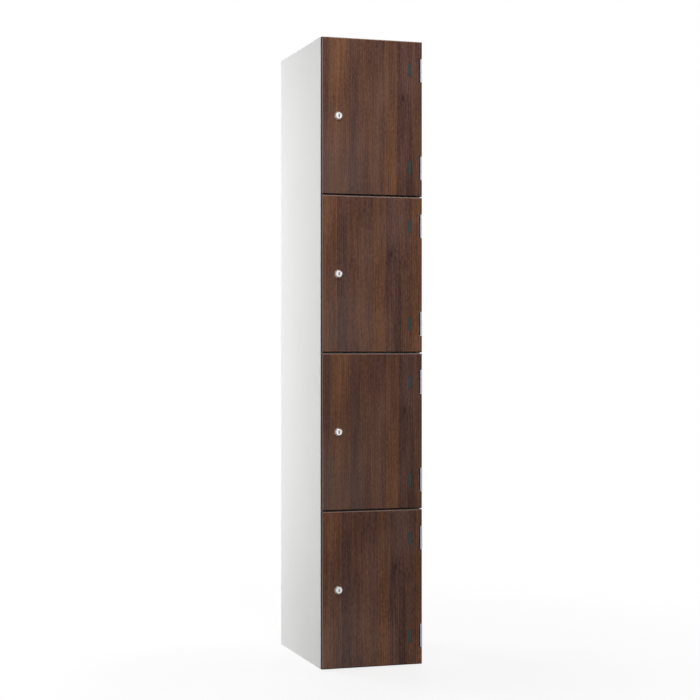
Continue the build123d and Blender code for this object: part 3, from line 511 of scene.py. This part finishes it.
CARCASS_LOOKS = {
    "left_side_panel": steel,
    "right_side_panel": steel,
    "back_panel": steel,
    "top_panel": steel,
    "base_panel": steel,
    "shelf_upper": steel,
    "shelf_middle": steel,
    "shelf_lower": steel,
    "hinge_frame_leaves": nickel,
    "hinge_pins": bright_pin,
    "hinge_rivets": zinc_plate,
    "door_buffers": buffer_rubber,
}
DOOR_LOOKS = {
    "hinge_leaves": nickel,
    "clamp_bars": clamp_coat,
    "screws": black_oxide,
    "lock_case": case_plastic,
    "lock_cover": cover_plastic,
    "lock_cam": zinc_plate,
    "lock_bolt": die_cast,
    "coin_lever": orange_acetal,
    "lever_spring": spring_strip,
}
# The lock's turned metals, as (bright, dull where it is handled).
CHROME = (linear(250, 250, 251), linear(228, 229, 232))
PLUG_NICKEL = (linear(240, 239, 237), linear(204, 202, 199))

for piece, material in CARCASS_LOOKS.items():
    dress(piece, material)
for door in DOORS:
    for piece, material in DOOR_LOOKS.items():
        dress(f"door_{door}_{piece}", material)
    dress(f"door_{door}_panel", door_material(door))
    low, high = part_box(f"door_{door}_lock_barrel")
    lock_x = (low[0] + high[0]) / 2
    lock_z = (low[2] + high[2]) / 2
    satin_chrome = turned_metal(f"satin_chrome_{door}", *CHROME, lock_x, lock_z, 0.34)
    dress(f"door_{door}_lock_barrel", satin_chrome)
    plug_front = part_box(f"door_{door}_lock_plug")[0][1]
    plug_nickel = turned_metal(f"plug_nickel_{door}", *PLUG_NICKEL, lock_x, lock_z, 0.30, plug_front)
    dress(f"door_{door}_lock_plug", plug_nickel)


# ---- studio ------------------------------------------------------------------------------------------------
# Brightness of the white tent as fill light and in reflections; the camera sees it plain white.
AMBIENT = 0.17
REFLECTED = 0.80
FLOOR_DULL = linear(241, 241, 241)
FLOOR_BRIGHT = linear(246, 246, 246)
FLOOR_RADIUS = 40.0
# The floor begins to fade at the first distance from the middle, and is all backdrop at the second.
FLOOR_FADE = (0.3, 1.8)
# How much of the floor under the object glows like the tent: for light that bounces, and for the camera.
FLOOR_GLOW = 0.35
FLOOR_GLOW_SEEN = 0.80
# Soft boxes as (name, place, target, width, height, watts).
SOFT_BOXES = (
    ("key_high", (-0.5, -1.5, 3.1), (0.0, -0.2, 1.3), 1.0, 1.0, 22.0),
    ("front_tall", (-0.4, -3.0, 1.9), (0.0, -0.2, 1.2), 1.1, 2.0, 7.4),
    ("side_left_rear", (-1.0, 1.4, 0.75), (-0.15, 0.1, 0.65), 0.8, 2.9, 42.0),
    ("right_fill", (2.6, -0.2, 2.0), (0.15, 0.0, 1.0), 1.6, 2.4, 34.0),
    ("rear_fill", (0.8, 3.6, 2.2), (0.0, 0.2, 0.9), 2.0, 2.4, 18.0),
)
# The camera's turn is in degrees to the right of straight ahead, and its lens in millimetres.
CAMERA_PLACE = (-1.4998, -4.9923, 0.9085)
CAMERA_TURN = 18.381
CAMERA_LENS = 89.47
CAMERA_SHIFT = -0.0697


def tent_white(nodes):
    """Brightness of the white tent: full to the camera, less in reflections and least as fill light."""
    rays = nodes.node("ShaderNodeLightPath")
    unseen = nodes.span(rays.outputs["Is Glossy Ray"], 0.0, 1.0, AMBIENT, REFLECTED)
    return nodes.calc("MAXIMUM", rays.outputs["Is Camera Ray"], unseen)


def make_floor():
    """Round pale floor that fades into the white backdrop."""
    shader = Shader("studio_floor")
    shader.set(
        Base_Color=shader.blend(shader.even(shader.noise(5.0, detail=5.0)), FLOOR_DULL, FLOOR_BRIGHT),
        Roughness=0.55,
        Normal=shader.bump(shader.noise(90.0, detail=4.0), 0.3 * MM, strength=0.2),
    )
    seen = shader.node("ShaderNodeLightPath").outputs["Is Camera Ray"]
    glow = shader.span(seen, 0.0, 1.0, FLOOR_GLOW, FLOOR_GLOW_SEEN)
    away = shader.span(shader.length(shader.place), *FLOOR_FADE, glow, 1.0, smooth=True)
    white = shader.node("ShaderNodeEmission")
    shader.feed(white.inputs["Strength"], tent_white(shader))
    mixed = shader.node("ShaderNodeMixShader")
    for socket, value in zip(mixed.inputs, (away, shader.surface.outputs[0], white.outputs[0])):
        shader.feed(socket, value)
    shader.feed(shader.tree.nodes["Material Output"].inputs["Surface"], mixed.outputs[0])

    mesh = bpy.data.meshes.new("studio_floor")
    shape = bmesh.new()
    bmesh.ops.create_circle(shape, cap_ends=True, segments=96, radius=FLOOR_RADIUS)
    shape.to_mesh(mesh)
    shape.free()
    mesh.materials.append(shader.material)
    floor = bpy.data.objects.new("studio_floor", mesh)
    bpy.context.scene.collection.objects.link(floor)


def make_backdrop():
    """The white tent beyond the floor."""
    world = bpy.data.worlds.new("studio")
    bpy.context.scene.world = world
    world.use_nodes = True
    nodes = Nodes(world.node_tree)
    backdrop = nodes.tree.nodes["Background"]
    backdrop.inputs["Color"].default_value = (1.0, 1.0, 1.0, 1.0)
    nodes.feed(backdrop.inputs["Strength"], tent_white(nodes))


def soft_light(name, place, target, width, height, watts):
    """Rectangular soft box at place, turned to target."""
    lamp = bpy.data.lights.new(name, "AREA")
    lamp.shape = "RECTANGLE"
    lamp.size = width
    lamp.size_y = height
    lamp.energy = watts
    box = bpy.data.objects.new(name, lamp)
    bpy.context.scene.collection.objects.link(box)
    box.location = place
    direction = Vector(target) - Vector(place)
    box.rotation_euler = direction.to_track_quat("-Z", "Y").to_euler()


def make_camera():
    """Level camera at the left of the front, with the frame shifted as in a cropped picture."""
    lens = bpy.data.cameras.new("camera")
    lens.lens = CAMERA_LENS
    lens.shift_x = CAMERA_SHIFT
    camera = bpy.data.objects.new("camera", lens)
    bpy.context.scene.collection.objects.link(camera)
    camera.location = CAMERA_PLACE
    camera.rotation_euler = (pi / 2, 0.0, -radians(CAMERA_TURN))
    bpy.context.scene.camera = camera


make_floor()
make_backdrop()
for soft_box in SOFT_BOXES:
    soft_light(*soft_box)
make_camera()
bpy.context.scene.view_settings.view_transform = "Standard"
